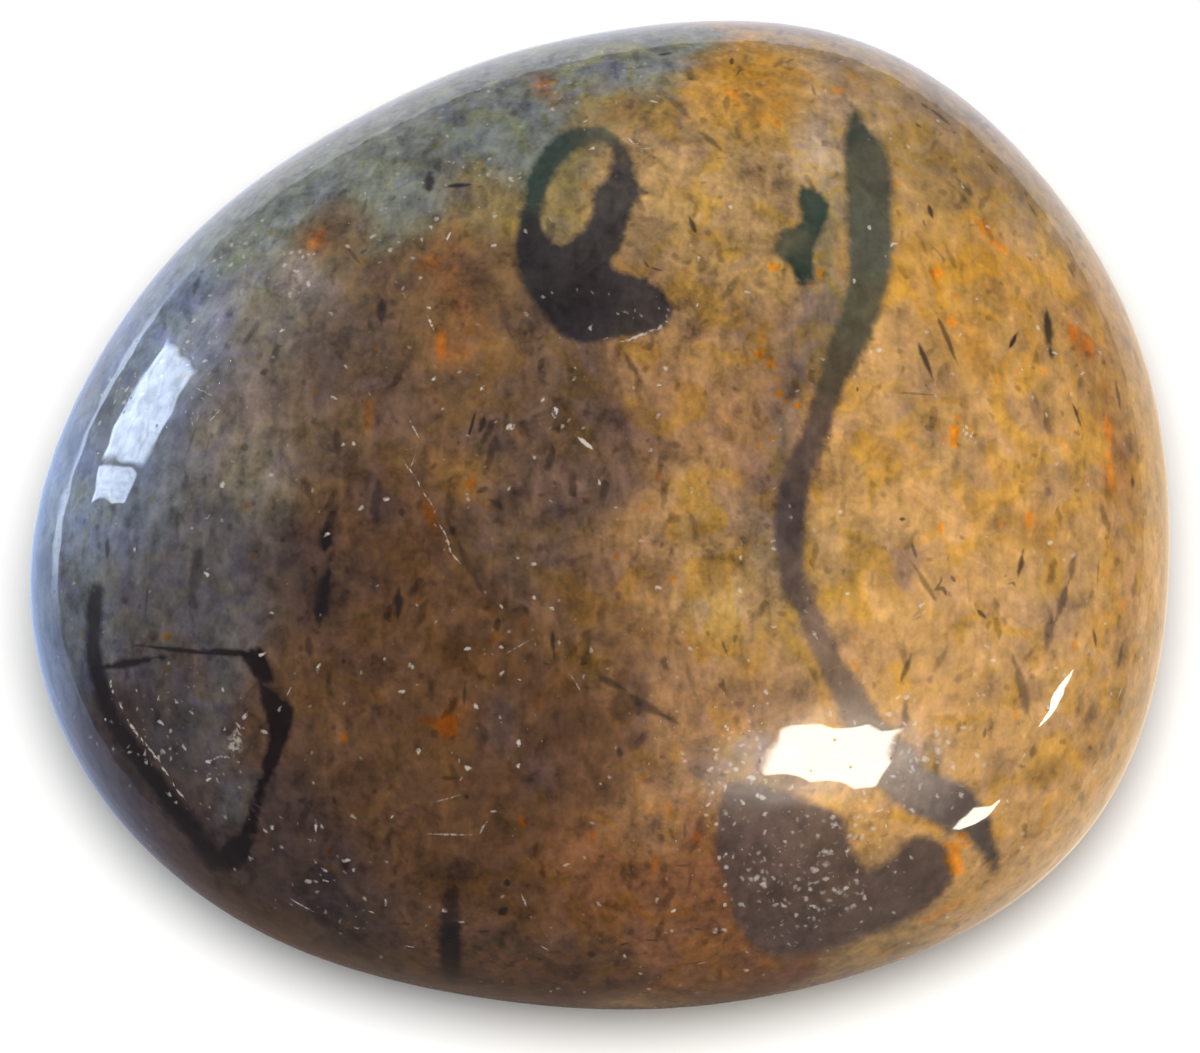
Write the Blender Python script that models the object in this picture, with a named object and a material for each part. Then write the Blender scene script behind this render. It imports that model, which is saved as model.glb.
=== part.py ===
"""A tumbled and polished pebble of boulder opal, as one closed stone.

Blender units are metres and +Z is up. The stone lies on a small flat spot at
z = 0, with its long side along X, and the origin is under the middle of its
bounding box.
"""

import math

import bmesh
import bpy
import numpy as np

MM = 0.001

# The outline seen from above: the distance in millimetres from the centre to
# the edge, one caliper reading every 18 degrees, anticlockwise from +X.
OUTLINE_READINGS = [
    17.3, 17.3, 16.7, 16.5, 15.1,
    14.1, 13.3, 13.5, 14.0, 15.2,
    16.2, 17.2, 16.8, 16.3, 15.3,
    15.4, 15.7, 17.0, 17.9, 18.0,
]

# The profile seen from the side. The girth is the level where the stone is
# widest, and it is not quite level: it rises towards one end.
DOME_HEIGHT = 9.3
BELLY_DEPTH = 6.9
FLAT_SPOT_DEPTH = 0.12
GIRTH_RISE = 0.35
GIRTH_RISE_TOWARDS = math.radians(150)

# A fullness of 1 is an ellipse from the side. Below 1 the shoulders are fuller
# and the top is flatter, as tumbling leaves them.
FULLNESS = 0.88

# The broad hollows and swells that are left of the rough stone's faces. Each
# is a direction, its width as an angle and its height in millimetres.
SWELLS = [
    ((0.55, -0.62, 0.56), math.radians(34), -0.22),
    ((-0.80, 0.28, 0.52), math.radians(30), -0.25),
    ((0.10, 0.75, 0.65), math.radians(36), -0.18),
    ((-0.25, -0.55, 0.80), math.radians(40), 0.16),
    ((0.50, 0.30, -0.80), math.radians(45), -0.25),
    ((-0.60, -0.20, -0.75), math.radians(40), 0.20),
]

SPHERE_LEVEL = 5


def clear_scene():
    for item in list(bpy.data.objects):
        bpy.data.objects.remove(item)


def stone_material():
    material = bpy.data.materials.new("polished_stone")
    material.use_nodes = True
    shader = material.node_tree.nodes["Principled BSDF"]
    shader.inputs["Base Color"].default_value = (0.27, 0.17, 0.075, 1)
    shader.inputs["Roughness"].default_value = 0.12
    shader.inputs["Metallic"].default_value = 0.0
    material.diffuse_color = (0.27, 0.17, 0.075, 1)
    return material


def outline_radius(angle):
    """A smooth closed curve through the readings, as a sum of harmonics."""
    count = len(OUTLINE_READINGS)
    harmonics = np.fft.rfft(OUTLINE_READINGS) / count
    radius = np.full_like(angle, harmonics[0].real)
    for order in range(1, count // 2):
        wave = harmonics[order] * np.exp(1j * order * angle)
        radius += 2 * wave.real
    return radius


def swell_height(directions):
    height = np.zeros(len(directions))
    for centre, width, rise in SWELLS:
        centre = np.array(centre) / np.linalg.norm(centre)
        angle = np.arccos(np.clip(directions @ centre, -1, 1))
        height += rise * np.exp(-((angle / width) ** 2))
    return height


def pebble_points(directions):
    """The stone's surface in millimetres, one point for each unit direction."""
    x, y, level = directions.T
    angle = np.arctan2(y, x)
    spread = np.sqrt(np.clip(1 - level**2, 0, 1)) ** FULLNESS
    rise = np.sign(level) * np.abs(level) ** FULLNESS

    mean_height = (DOME_HEIGHT + BELLY_DEPTH) / 2
    extra_dome = (DOME_HEIGHT - BELLY_DEPTH) / 2
    girth = GIRTH_RISE * spread * np.cos(angle - GIRTH_RISE_TOWARDS)
    radius = outline_radius(angle) * spread
    points = np.column_stack([
        radius * np.cos(angle),
        radius * np.sin(angle),
        girth + mean_height * rise + extra_dome * rise**2,
    ])

    points += directions * swell_height(directions)[:, None]
    points[:, 2] += BELLY_DEPTH - FLAT_SPOT_DEPTH
    points[:, 2] = np.maximum(points[:, 2], 0)
    middle = (points.max(axis=0) + points.min(axis=0)) / 2
    points[:, :2] -= middle[:2]
    return points


def make_stone(collection):
    bpy.ops.mesh.primitive_ico_sphere_add(subdivisions=SPHERE_LEVEL, radius=1)
    stone = bpy.context.active_object
    stone.name = "stone"
    stone.data.name = "stone"

    shape = bmesh.new()
    shape.from_mesh(stone.data)
    directions = np.array([vertex.co.normalized() for vertex in shape.verts])
    for vertex, point in zip(shape.verts, pebble_points(directions) * MM):
        vertex.co = point
    bmesh.ops.recalc_face_normals(shape, faces=shape.faces)
    shape.to_mesh(stone.data)
    shape.free()

    stone.data.shade_smooth()
    stone.data.materials.append(stone_material())
    for old in list(stone.users_collection):
        old.objects.unlink(stone)
    collection.objects.link(stone)
    return stone


def main():
    clear_scene()
    collection = bpy.data.collections.new("boulder_opal")
    bpy.context.scene.collection.children.link(collection)
    stone = make_stone(collection)
    bpy.context.view_layer.update()
    sides = [side / MM for side in stone.dimensions]
    print("stone", " x ".join(f"{side:.2f}" for side in sides), "mm")


main()
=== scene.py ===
# %% [markdown]
# # A polished boulder opal pebble
#
# This lesson dresses one tumbled stone. The solid that it starts from has the right size
# and form, and no finish. On the real stone nearly everything that the eye reads is in the
# surface: golden and grey clouds of colour, dark ribbons with crisp edges, needle-like
# crystals, rust spots, white dust, and a wet-looking polish that mirrors the room.
#
# The plan is camera and light first, because a polished stone shows its surroundings.
# Then comes the mesh, then the map of its markings, and last the material.

import math

import bpy
import numpy as np
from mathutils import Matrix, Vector, noise
from mathutils.bvhtree import BVHTree


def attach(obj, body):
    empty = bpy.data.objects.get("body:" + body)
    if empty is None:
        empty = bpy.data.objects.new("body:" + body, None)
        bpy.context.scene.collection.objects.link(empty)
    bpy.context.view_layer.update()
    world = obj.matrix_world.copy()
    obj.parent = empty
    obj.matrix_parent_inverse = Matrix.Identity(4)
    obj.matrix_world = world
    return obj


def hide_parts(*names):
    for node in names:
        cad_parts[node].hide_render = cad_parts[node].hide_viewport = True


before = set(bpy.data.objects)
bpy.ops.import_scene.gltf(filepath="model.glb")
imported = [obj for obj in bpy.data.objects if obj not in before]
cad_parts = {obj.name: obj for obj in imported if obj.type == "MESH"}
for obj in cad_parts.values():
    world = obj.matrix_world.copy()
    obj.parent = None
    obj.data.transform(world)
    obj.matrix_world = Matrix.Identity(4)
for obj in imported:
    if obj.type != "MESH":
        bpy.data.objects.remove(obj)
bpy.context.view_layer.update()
MM = 0.001

# %% [markdown]
# ## The camera
#
# The photograph looks almost straight down, from slightly in front. A long lens far away
# keeps the outline free of perspective, as a close-up of a small thing on a table has it.
# The aim point is in the middle of the stone, a little above its girth.

# %% Place the camera
CAMERA_ELEVATION = math.radians(80)
CAMERA_DISTANCE = 259.3 * MM
CAMERA_AIM = Vector((0, -0.37, 6.45)) * MM
CAMERA_LENS = 260

towards_camera = Vector((0, -math.cos(CAMERA_ELEVATION), math.sin(CAMERA_ELEVATION)))
bpy.ops.object.camera_add(
    location=CAMERA_AIM + towards_camera * CAMERA_DISTANCE,
    rotation=(math.pi / 2 - CAMERA_ELEVATION, 0, 0),
)
camera = bpy.context.active_object
camera.name = "camera"
camera.data.lens = CAMERA_LENS
camera.data.clip_start = 0.01
camera.data.clip_end = 20
scene = bpy.context.scene
scene.camera = camera
scene.view_settings.view_transform = "Standard"
print("camera", [f"{value:.4f}" for value in camera.location])

# %% [markdown]
# ## Small helpers for nodes
#
# A node tree written out by hand soon drowns its own idea. These few helpers add a node,
# set its inputs and link it in one call. An input that is given a socket is linked, and any
# other value is set on it.

# %% Node helpers
def add_node(tree, kind, inputs=None, **settings):
    node = tree.nodes.new(kind)
    for name, value in settings.items():
        setattr(node, name, value)
    for name, value in (inputs or {}).items():
        if isinstance(value, bpy.types.NodeSocket):
            tree.links.new(value, node.inputs[name])
        else:
            node.inputs[name].default_value = value
    return node


def calculate(tree, operation, *values):
    """A Math node's result. Each value is a number or a socket."""
    inputs = dict(enumerate(values))
    return add_node(tree, "ShaderNodeMath", inputs, operation=operation).outputs[0]


def mix_colour(tree, share, first, second, blend="MIX"):
    mix = add_node(tree, "ShaderNodeMix", data_type="RGBA", blend_type=blend)
    for index, value in ((0, share), (6, first), (7, second)):
        if isinstance(value, bpy.types.NodeSocket):
            tree.links.new(value, mix.inputs[index])
        else:
            mix.inputs[index].default_value = value
    return mix.outputs[2]


def ramp(tree, value, start, end, low=0.0, high=1.0):
    """Goes smoothly from low to high as value goes from start to end."""
    inputs = {"Value": value, "From Min": start, "From Max": end, "To Min": low, "To Max": high}
    return add_node(tree, "ShaderNodeMapRange", inputs, interpolation_type="SMOOTHSTEP").outputs[0]


def linear(red, green, blue):
    """A colour as the eye compares it, 0 to 255, turned into the amounts of light that Blender mixes."""
    shares = np.array([red, green, blue]) / 255
    light = np.where(shares <= 0.04045, shares / 12.92, ((shares + 0.055) / 1.055) ** 2.4)
    return (*[float(value) for value in light], 1.0)


# %% [markdown]
# ## The floor
#
# The stone lies on something pale that fades to white. The polish mirrors it all round the
# rim, and there the photograph tells more than its blank background does: the sheet is
# brightest behind the stone, bluish on the left, warm on the right and in shadow in front,
# and it ends about 35 mm away with a darker table beyond. So the floor is plain white to the
# camera and to the lamps, and a second shader paints what mirrored rays find there.

# %% Lay the floor
SHEET_RADIUS = 35
FOOTPRINT_RADIUS = 13
FLOOR_WHITE = (0.67, 0.67, 0.67, 1)
SHEET_BEHIND = (0.92, 0.93, 1.02, 1)
SHEET_LEFT = (0.58, 0.76, 1.18, 1)
SHEET_RIGHT = (1.10, 0.86, 0.60, 1)
SHEET_FRONT = (0.16, 0.12, 0.10, 1)
FRONT_AZIMUTH = math.radians(258)
SHEET_LIP = (2.6, 3.1, 3.8, 1)
LIP_AZIMUTH = math.radians(163)
LIP_WIDTH = 4.5
TABLE_SHADE = (0.13, 0.125, 0.13, 1)
UNDERSIDE_SHADE = (0.06, 0.055, 0.05, 1)

bpy.ops.object.select_all(action="DESELECT")
bpy.ops.mesh.primitive_plane_add(size=4)
floor = bpy.context.active_object
floor.name = "floor"
paint = bpy.data.materials.new("pale_sheet")
paint.use_nodes = True
tree = paint.node_tree
shader = tree.nodes["Principled BSDF"]
shader.inputs["Base Color"].default_value = FLOOR_WHITE
shader.inputs["Roughness"].default_value = 1
shader.inputs["Specular IOR Level"].default_value = 0

place = add_node(tree, "ShaderNodeTexCoord").outputs["Object"]
reach = add_node(tree, "ShaderNodeVectorMath", {0: place}, operation="LENGTH").outputs["Value"]
outward = add_node(tree, "ShaderNodeVectorMath", {0: place}, operation="NORMALIZE").outputs[0]


def towards(azimuth):
    """How far a place lies in this direction from the middle: 1 straight that way, 0 beside."""
    ahead = (math.cos(azimuth), math.sin(azimuth), 0)
    return add_node(tree, "ShaderNodeVectorMath", {0: outward, 1: ahead}, operation="DOT_PRODUCT").outputs["Value"]


sheet = mix_colour(tree, ramp(tree, towards(0), -0.6, 0.9), SHEET_LEFT, SHEET_RIGHT)
sheet = mix_colour(tree, ramp(tree, towards(math.pi / 2), 0.1, 0.9), sheet, SHEET_BEHIND)
sheet = mix_colour(tree, ramp(tree, towards(FRONT_AZIMUTH), 0.3, 0.9), sheet, SHEET_FRONT)
lip = ramp(tree, reach, (SHEET_RADIUS - LIP_WIDTH) * MM, (SHEET_RADIUS - LIP_WIDTH / 2) * MM)
lip = calculate(tree, "MULTIPLY", lip, ramp(tree, towards(LIP_AZIMUTH), 0.93, 0.98))
sheet = mix_colour(tree, lip, sheet, SHEET_LIP)
past_edge = ramp(tree, reach, (SHEET_RADIUS - 0.3) * MM, (SHEET_RADIUS + 0.3) * MM)
under = ramp(tree, reach, FOOTPRINT_RADIUS * MM, (FOOTPRINT_RADIUS + 4) * MM)
sheet = mix_colour(tree, past_edge, sheet, TABLE_SHADE)
sheet = mix_colour(tree, under, UNDERSIDE_SHADE, sheet)
mirrored = add_node(tree, "ShaderNodeEmission", {"Color": sheet})
glossy_ray = add_node(tree, "ShaderNodeLightPath").outputs["Is Glossy Ray"]
choice = add_node(tree, "ShaderNodeMixShader", {0: glossy_ray, 1: shader.outputs[0], 2: mirrored.outputs[0]})
tree.links.new(choice.outputs[0], tree.nodes["Material Output"].inputs["Surface"])
# It glows for mirrored rays only, so it isn't counted among the lamps.
paint.cycles.emission_sampling = "NONE"
floor.data.materials.append(paint)

# %% [markdown]
# ## The room
#
# The world gives three things: white behind everything, a soft grey light from all sides,
# and the dim room that the polish mirrors, cool towards the window on the left and warm
# on the right. One Light Path node keeps the three apart.

# %% Make the room
BACKDROP = (1.0, 1.0, 1.0, 1)
SOFT_LIGHT = (0.405, 0.415, 0.43, 1)
ROOM_DIM = (0.05, 0.048, 0.05, 1)
ROOM_LEFT = (0.17, 0.17, 0.20, 1)
ROOM_RIGHT = (0.30, 0.25, 0.19, 1)
ROOM_BEHIND = (0.26, 0.28, 0.31, 1)

world = bpy.data.worlds.new("room")
world.use_nodes = True
scene.world = world
tree = world.node_tree
background = tree.nodes["Background"]
direction = add_node(tree, "ShaderNodeTexCoord").outputs["Generated"]
direction = add_node(tree, "ShaderNodeSeparateXYZ", {0: direction})
room = mix_colour(tree, ramp(tree, direction.outputs["X"], 0.4, 1.0), ROOM_DIM, ROOM_RIGHT)
room = mix_colour(tree, ramp(tree, direction.outputs["X"], -0.35, -1.0), room, ROOM_LEFT)
room = mix_colour(tree, ramp(tree, direction.outputs["Y"], 0.3, 1.0), room, ROOM_BEHIND)
rays = add_node(tree, "ShaderNodeLightPath")
seen = mix_colour(tree, rays.outputs["Is Glossy Ray"], SOFT_LIGHT, room)
seen = mix_colour(tree, rays.outputs["Is Camera Ray"], seen, BACKDROP)
tree.links.new(seen, background.inputs["Color"])
print("world", world.name)

# %% [markdown]
# ## Soft studio light
#
# One lamp stands almost overhead, beside the camera, and gives the narrow soft shadow that
# is darkest in front. Two weak ones warm the right side and cool the left.
# None of them shows in the polish, because a mirrored lamp has its own card below.

# %% Hang the lamps
def direction_to(elevation, azimuth):
    """Elevation above the horizon and azimuth anticlockwise from +X, both in degrees."""
    elevation, azimuth = math.radians(elevation), math.radians(azimuth)
    flat = math.cos(elevation)
    return Vector((flat * math.cos(azimuth), flat * math.sin(azimuth), math.sin(elevation)))


LAMP_DISTANCE = 0.25


def hang_lamp(name, elevation, azimuth, half_angle, light, colour):
    """A round lamp that adds this much light to a surface facing it."""
    distance = LAMP_DISTANCE
    towards = direction_to(elevation, azimuth)
    bpy.ops.object.light_add(type="AREA", location=towards * distance)
    lamp = bpy.context.active_object
    lamp.name = name
    lamp.rotation_euler = towards.to_track_quat("Z", "Y").to_euler()
    lamp.visible_glossy = False
    radius = distance * math.tan(math.radians(half_angle))
    area = math.pi * radius**2
    lamp.data.shape = "DISK"
    lamp.data.size = 2 * radius
    lamp.data.color = colour
    lamp.data.energy = 4 * area * light / math.sin(math.radians(half_angle)) ** 2
    print(name, f"{lamp.data.energy:.2f} W, {2 * radius:.2f} m across")
    return lamp


hang_lamp("overhead_lamp", 87.0, -90, 9.0, 0.95, (1.0, 0.985, 0.96))
hang_lamp("warm_lamp", 30, -15, 25, 0.22, (1.0, 0.88, 0.70))
hang_lamp("cool_lamp", 25, 150, 25, 0.14, (0.75, 0.87, 1.0))

# %% [markdown]
# ## What the polish mirrors
#
# Each bright patch on the stone is the mirror image of something flat and bright: a window
# with two panes low on the left, a lamp in front on the right, and two slits of light. A card
# is placed by the directions in which the stone mirrors its corners, seen from the patch.
# It glows for mirrored rays only, so it neither shows nor lights anything else. Its own UV
# map runs from 0 to 1 across it, and fades the glow towards its border.

# %% Set up the reflection cards
def reflection_card(name, seen_from, corners, distance, brightness, colour, border=0.02, smudge=0.0):
    """A glowing quad, its border faded over this share of its size and smudged by noise."""
    bpy.ops.object.select_all(action="DESELECT")
    bpy.ops.mesh.primitive_plane_add(size=1)
    card = bpy.context.active_object
    card.name = name
    order = (0, 1, 3, 2)
    for vertex, corner in zip(card.data.vertices, order):
        vertex.co = (Vector(seen_from) + direction_to(*corners[corner]) * distance) * MM
    bpy.ops.object.mode_set(mode="EDIT")
    bpy.ops.mesh.select_all(action="SELECT")
    bpy.ops.mesh.subdivide(number_cuts=5)
    bpy.ops.object.mode_set(mode="OBJECT")
    glow = bpy.data.materials.new(name)
    glow.use_nodes = True
    tree = glow.node_tree
    tree.nodes.clear()
    uv = add_node(tree, "ShaderNodeTexCoord").outputs["UV"]
    side = add_node(tree, "ShaderNodeSeparateXYZ", {0: uv})
    strength = brightness
    for axis in ("X", "Y"):
        inner = calculate(tree, "PINGPONG", side.outputs[axis], 0.5)
        strength = calculate(tree, "MULTIPLY", strength, ramp(tree, inner, 0, border))
    if smudge:
        inputs = {"Vector": uv, "Scale": 6, "Detail": 5, "Roughness": 0.7}
        streaks = add_node(tree, "ShaderNodeTexNoise", inputs).outputs["Fac"]
        clear = ramp(tree, streaks, 0.35, 0.62, 1 - smudge, 1)
        strength = calculate(tree, "MULTIPLY", strength, clear)
    emission = add_node(tree, "ShaderNodeEmission", {"Color": colour, "Strength": strength})
    output = add_node(tree, "ShaderNodeOutputMaterial")
    tree.links.new(emission.outputs[0], output.inputs[0])
    glow.cycles.emission_sampling = "NONE"
    card.data.materials.append(glow)
    card.visible_camera = False
    card.visible_diffuse = False
    card.visible_shadow = False
    card.visible_transmission = False
    print(name, f"{distance} mm away")
    return card


LAMP_GLOW = (1.0, 0.90, 0.76, 1)
WINDOW_GLOW = (0.64, 0.77, 1.0, 1)
HAZE_GLOW = (0.60, 0.66, 1.0, 1)
SLIT_GLOW = (1.0, 0.95, 0.82, 1)
LAMP_SPOT = (6.65, -8.4, 13.7)
WINDOW_SPOT = (-13.5, 1.3, 12.6)

reflection_card(
    "lamp_card", LAMP_SPOT, [(52.0, -58.9), (38.8, -39.2), (30.0, -54.6), (43.1, -65.7)],
    300, 26, LAMP_GLOW, border=0.08,
)
reflection_card(
    "lamp_haze_card", LAMP_SPOT, [(62, -62), (39, -26), (18, -54), (40, -84)],
    330, 8.0, LAMP_GLOW, border=0.45, smudge=0.7,
)
reflection_card(
    "upper_pane", WINDOW_SPOT, [(11.6, 140.0), (11.0, 158.6), (-14.0, 156.6), (-12.0, 136.5)],
    45, 15, WINDOW_GLOW, border=0.08, smudge=0.45,
)
reflection_card(
    "lower_pane", WINDOW_SPOT, [(10.6, 158.9), (8.4, 165.6), (-12.0, 164.4), (-14.0, 156.9)],
    45, 14, WINDOW_GLOW, border=0.08, smudge=0.35,
)
reflection_card(
    "window_haze_card", WINDOW_SPOT, [(20, 122), (18, 160), (-12, 160), (-12, 120)],
    52, 4.8, HAZE_GLOW, border=0.5, smudge=0.9,
)
reflection_card(
    "right_slit", (13.3, -6.4, 11.6), [(7.5, -9.9), (13.4, -17.4), (11.1, -23.9), (6.9, -15.6)],
    120, 26, SLIT_GLOW,
)
reflection_card(
    "front_slit", (11.1, -9.84, 11.2), [(5.2, -39.4), (9.2, -44.2), (7.4, -51.2), (3.6, -46.5)],
    120, 22, SLIT_GLOW,
)

# %% [markdown]
# ## The stone's mesh
#
# The solid is a coarse net of triangles, which a polish would betray at once: the straight
# edge of a mirrored lamp turns wavy. A copy of it is merged, subdivided twice, relaxed until
# the net is gone, and stretched back to the solid's size. Its points then lie 0.2 mm apart,
# close enough to carry the map of the markings.

# %% Copy, merge and subdivide the solid
bpy.ops.object.select_all(action="DESELECT")
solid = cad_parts["stone"]
solid.select_set(True)
bpy.context.view_layer.objects.active = solid
bpy.ops.object.duplicate()
stone = bpy.context.active_object
stone.name = "polished_stone"
stone.data.name = "polished_stone"
stone.parent = None
for label in list(stone.keys()):
    del stone[label]
stone.data.materials.clear()

bpy.ops.object.mode_set(mode="EDIT")
bpy.ops.mesh.select_all(action="SELECT")
bpy.ops.mesh.remove_doubles(threshold=0.001 * MM)
bpy.ops.object.mode_set(mode="OBJECT")

subdivision = stone.modifiers.new("subdivision", "SUBSURF")
subdivision.levels = 2
subdivision.render_levels = 2
bpy.ops.object.modifier_apply(modifier=subdivision.name)
relax = stone.modifiers.new("relax", "SMOOTH")
relax.factor = 0.5
relax.iterations = 110
bpy.ops.object.modifier_apply(modifier=relax.name)

# Relaxing shrinks a round shape a little, so it is stretched back to the solid's size.
stretch = [solid_side / side for solid_side, side in zip(solid.dimensions, stone.dimensions)]
bpy.ops.object.mode_set(mode="EDIT")
bpy.ops.mesh.select_all(action="SELECT")
bpy.ops.transform.resize(value=stretch, center_override=(0, 0, 0))
bpy.ops.object.mode_set(mode="OBJECT")
bpy.ops.object.shade_smooth()
print("stretched by", [f"{factor:.4f}" for factor in stretch])
print("stone", len(stone.data.vertices), "points", len(stone.data.polygons), "faces")

# %% Give it to the body
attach(stone, "root")
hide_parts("stone")

# %% [markdown]
# ## Where things are on the stone
#
# The markings are worked out point by point, so the script needs the mesh as arrays, in
# millimetres. It also needs to know where a place seen from above lies on the curved
# surface, which a ray straight down finds. The same ray from below serves the underside.

# %% Read the mesh
def read_vectors(items, name):
    values = np.empty(len(items) * 3, np.float32)
    items.foreach_get(name, values)
    return values.reshape(-1, 3).astype(float)


spots = read_vectors(stone.data.vertices, "co") / MM
facing = read_vectors(stone.data.vertex_normals, "vector")
skin = BVHTree.FromObject(stone, bpy.context.evaluated_depsgraph_get())


def touch_down(x, y, under=False):
    """The surface's point in mm and its normal, straight below (x, y) or straight above it."""
    start = Vector((x * MM, y * MM, -1 if under else 1))
    place, normal, _, _ = skin.ray_cast(start, Vector((0, 0, 1 if under else -1)))
    return np.array(place) / MM, np.array(normal)


print("dome top", touch_down(0, 0)[0].round(2), "mm")

# %% [markdown]
# ## The ground colours
#
# Iron and clay left the stone golden on one side, grey-brown on the other, with a
# green-grey cap. Part of that split is painted light: the golden east is also painted
# brighter and warmer, as if lit by the warm lamp on the right. The grey-brown west and
# lower left are painted darker, as painted shade. The pale blue-greys beside the window's
# mirrored image paint part of its reflected glow. Nothing has an edge: each
# colour lies in pools that run into each other.
# A dozen named colours are laid down as soft pools, and each point takes the mixture of
# the pools near it. Pushing the points about with smooth noise first frays the borders,
# as mineral stains fray.

# %% Name the colours
GOLD = linear(152, 118, 68)
MUSTARD = linear(148, 110, 42)
HONEY = linear(132, 106, 62)
BEIGE = linear(142, 119, 86)
TAN = linear(114, 86, 55)
UMBER = linear(76, 59, 44)
RED_UMBER = linear(96, 64, 37)
SEPIA = linear(69, 48, 30)
RUSSET = linear(84, 62, 38)
OLIVE = linear(102, 87, 50)
GREEN_GREY = linear(88, 93, 84)
PALE_GREEN_GREY = linear(102, 106, 97)
DUSTY_GREY = linear(98, 91, 79)
SLATE = linear(64, 60, 58)
COAL_BROWN = linear(50, 38, 33)
COLD_GREY = linear(76, 79, 84)
# Pale blue-grey: partly the stone's own grey, partly a painted reflection of the window's bluish glow.
PALE_GREY_AND_WINDOW_GLOW = linear(100, 109, 120)

# %% Lay the pools
GROUND_POOLS = [
    # x, y, reach in mm, colour: the golden side, partly painted warm light
    (13.5, 2.0, 3.6, GOLD), (12.5, -3.5, 3.6, GOLD), (9.0, -1.5, 2.0, GOLD),
    (9.5, -5.5, 2.0, GOLD), (12.5, -9.0, 3.0, GOLD), (8.6, 2.4, 1.6, GOLD),
    (11.4, 6.0, 2.2, MUSTARD), (10.4, 3.4, 1.2, MUSTARD), (12.0, -1.5, 1.0, MUSTARD),
    (14.6, 3.0, 1.0, MUSTARD), (10.0, 9.0, 2.2, HONEY), (8.2, 12.2, 1.8, BEIGE),
    (6.4, 10.0, 1.0, BEIGE), (4.6, 11.4, 1.4, MUSTARD), (2.6, 8.6, 1.8, HONEY),
    (4.2, 6.6, 1.8, HONEY), (4.4, -4.0, 1.5, HONEY), (6.9, -2.6, 1.0, HONEY),
    (7.6, 0.2, 0.9, GOLD), (13.0, 8.0, 1.2, BEIGE), (3.3, -3.6, 1.0, HONEY),
    (4.5, -13.5, 1.5, RED_UMBER), (8.6, -12.6, 1.2, HONEY),
    # the middle
    (3.2, 3.2, 2.2, TAN), (4.0, -0.5, 1.8, TAN), (2.2, -3.0, 1.6, TAN),
    (3.6, 4.4, 1.3, HONEY), (3.2, -1.8, 1.2, HONEY),
    (3.0, -6.8, 1.6, TAN), (2.4, -9.2, 1.4, TAN), (2.4, -11.8, 1.4, RED_UMBER),
    (0.2, -5.0, 1.4, RUSSET), (-1.6, 2.6, 1.4, UMBER), (-4.3, 3.2, 1.4, RUSSET),
    (-1.8, -0.6, 2.0, UMBER), (-8.2, 1.6, 2.4, UMBER), (-4.2, -0.6, 0.9, RUSSET),
    (-6.2, -1.6, 1.8, SEPIA), (0.6, -8.2, 1.0, SEPIA), (1.2, -10.4, 1.0, TAN),
    # the brown foot
    (-6.0, -5.4, 2.2, SEPIA), (-3.0, -7.2, 2.0, SEPIA), (-7.6, -8.2, 1.6, SEPIA),
    (-4.8, -10.4, 1.6, SEPIA), (-1.4, -9.6, 1.4, SEPIA), (0.4, -11.8, 1.6, RED_UMBER),
    (-2.0, -13.4, 1.6, SEPIA), (-9.2, -11.0, 1.8, COAL_BROWN), (-13.4, -8.0, 1.6, COAL_BROWN),
    # the grey side, partly painted shade, with painted window glow beside the window's image; and the green cap
    (-12.0, -3.4, 1.9, SLATE), (-8.3, -3.4, 1.2, COAL_BROWN), (-10.2, 0.2, 1.5, DUSTY_GREY),
    (-13.6, -0.2, 1.6, COLD_GREY), (-15.6, -0.2, 1.4, PALE_GREY_AND_WINDOW_GLOW), (-15.8, -3.8, 1.5, COLD_GREY),
    (-12.6, 3.0, 1.4, COLD_GREY), (-12.8, 5.0, 1.3, PALE_GREY_AND_WINDOW_GLOW), (-10.4, 7.0, 1.3, PALE_GREEN_GREY),
    (-9.6, 4.6, 1.6, DUSTY_GREY), (-8.0, 7.4, 0.7, RUSSET), (-5.2, 5.2, 1.3, RUSSET),
    (-8.8, 9.2, 1.6, PALE_GREEN_GREY), (-6.6, 9.8, 1.3, PALE_GREEN_GREY), (-3.4, 10.4, 1.4, GREEN_GREY),
    (-3.9, 7.4, 1.2, OLIVE), (0.6, 10.8, 1.1, OLIVE), (0.4, 12.9, 1.5, PALE_GREEN_GREY),
    (-2.7, 12.2, 1.5, PALE_GREEN_GREY), (-5.2, 7.9, 0.9, GREEN_GREY), (-3.2, 5.7, 0.8, RUSSET),
]
UNDER_POOLS = [
    (9, 3, 6, GOLD), (4, -7, 4, HONEY), (-2, 6, 4, OLIVE), (-3, -2, 4, TAN),
    (-9, -5, 5, SEPIA), (-11, 4, 4, DUSTY_GREY), (3, 10, 4, MUSTARD), (12, -5, 3, GOLD),
]


def frayed(places, size, push):
    """The places, each pushed about by smooth noise whose swells are this size in mm."""
    pushes = [noise.noise_vector(Vector(place) / size) for place in places]
    return places + push * np.array(pushes)


def lay_pools(places):
    colour = np.zeros((len(places), 3))
    total = np.zeros((len(places), 1))
    for pools, under in ((GROUND_POOLS, False), (UNDER_POOLS, True)):
        for x, y, reach, paint in pools:
            centre, _ = touch_down(x, y, under)
            gap = np.linalg.norm(places - centre, axis=1) / reach
            share = np.exp(-(gap**2))[:, None] + 1e-3 / (1 + gap[:, None] ** 4)
            colour += share * np.array(paint[:3])
            total += share
    return colour / total


frayed_spots = frayed(frayed(spots, 2.4, 0.9), 0.7, 0.35)
ground = lay_pools(frayed_spots)
print("ground", len(GROUND_POOLS) + len(UNDER_POOLS), "pools")

# %% [markdown]
# ## Clouds inside the ground
#
# Between the sharp markings hang softer ones: violet-grey haze beside the dark ribbon,
# smoky patches, bleached and mustard spots. Each is a soft oval laid over the pools.

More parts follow.
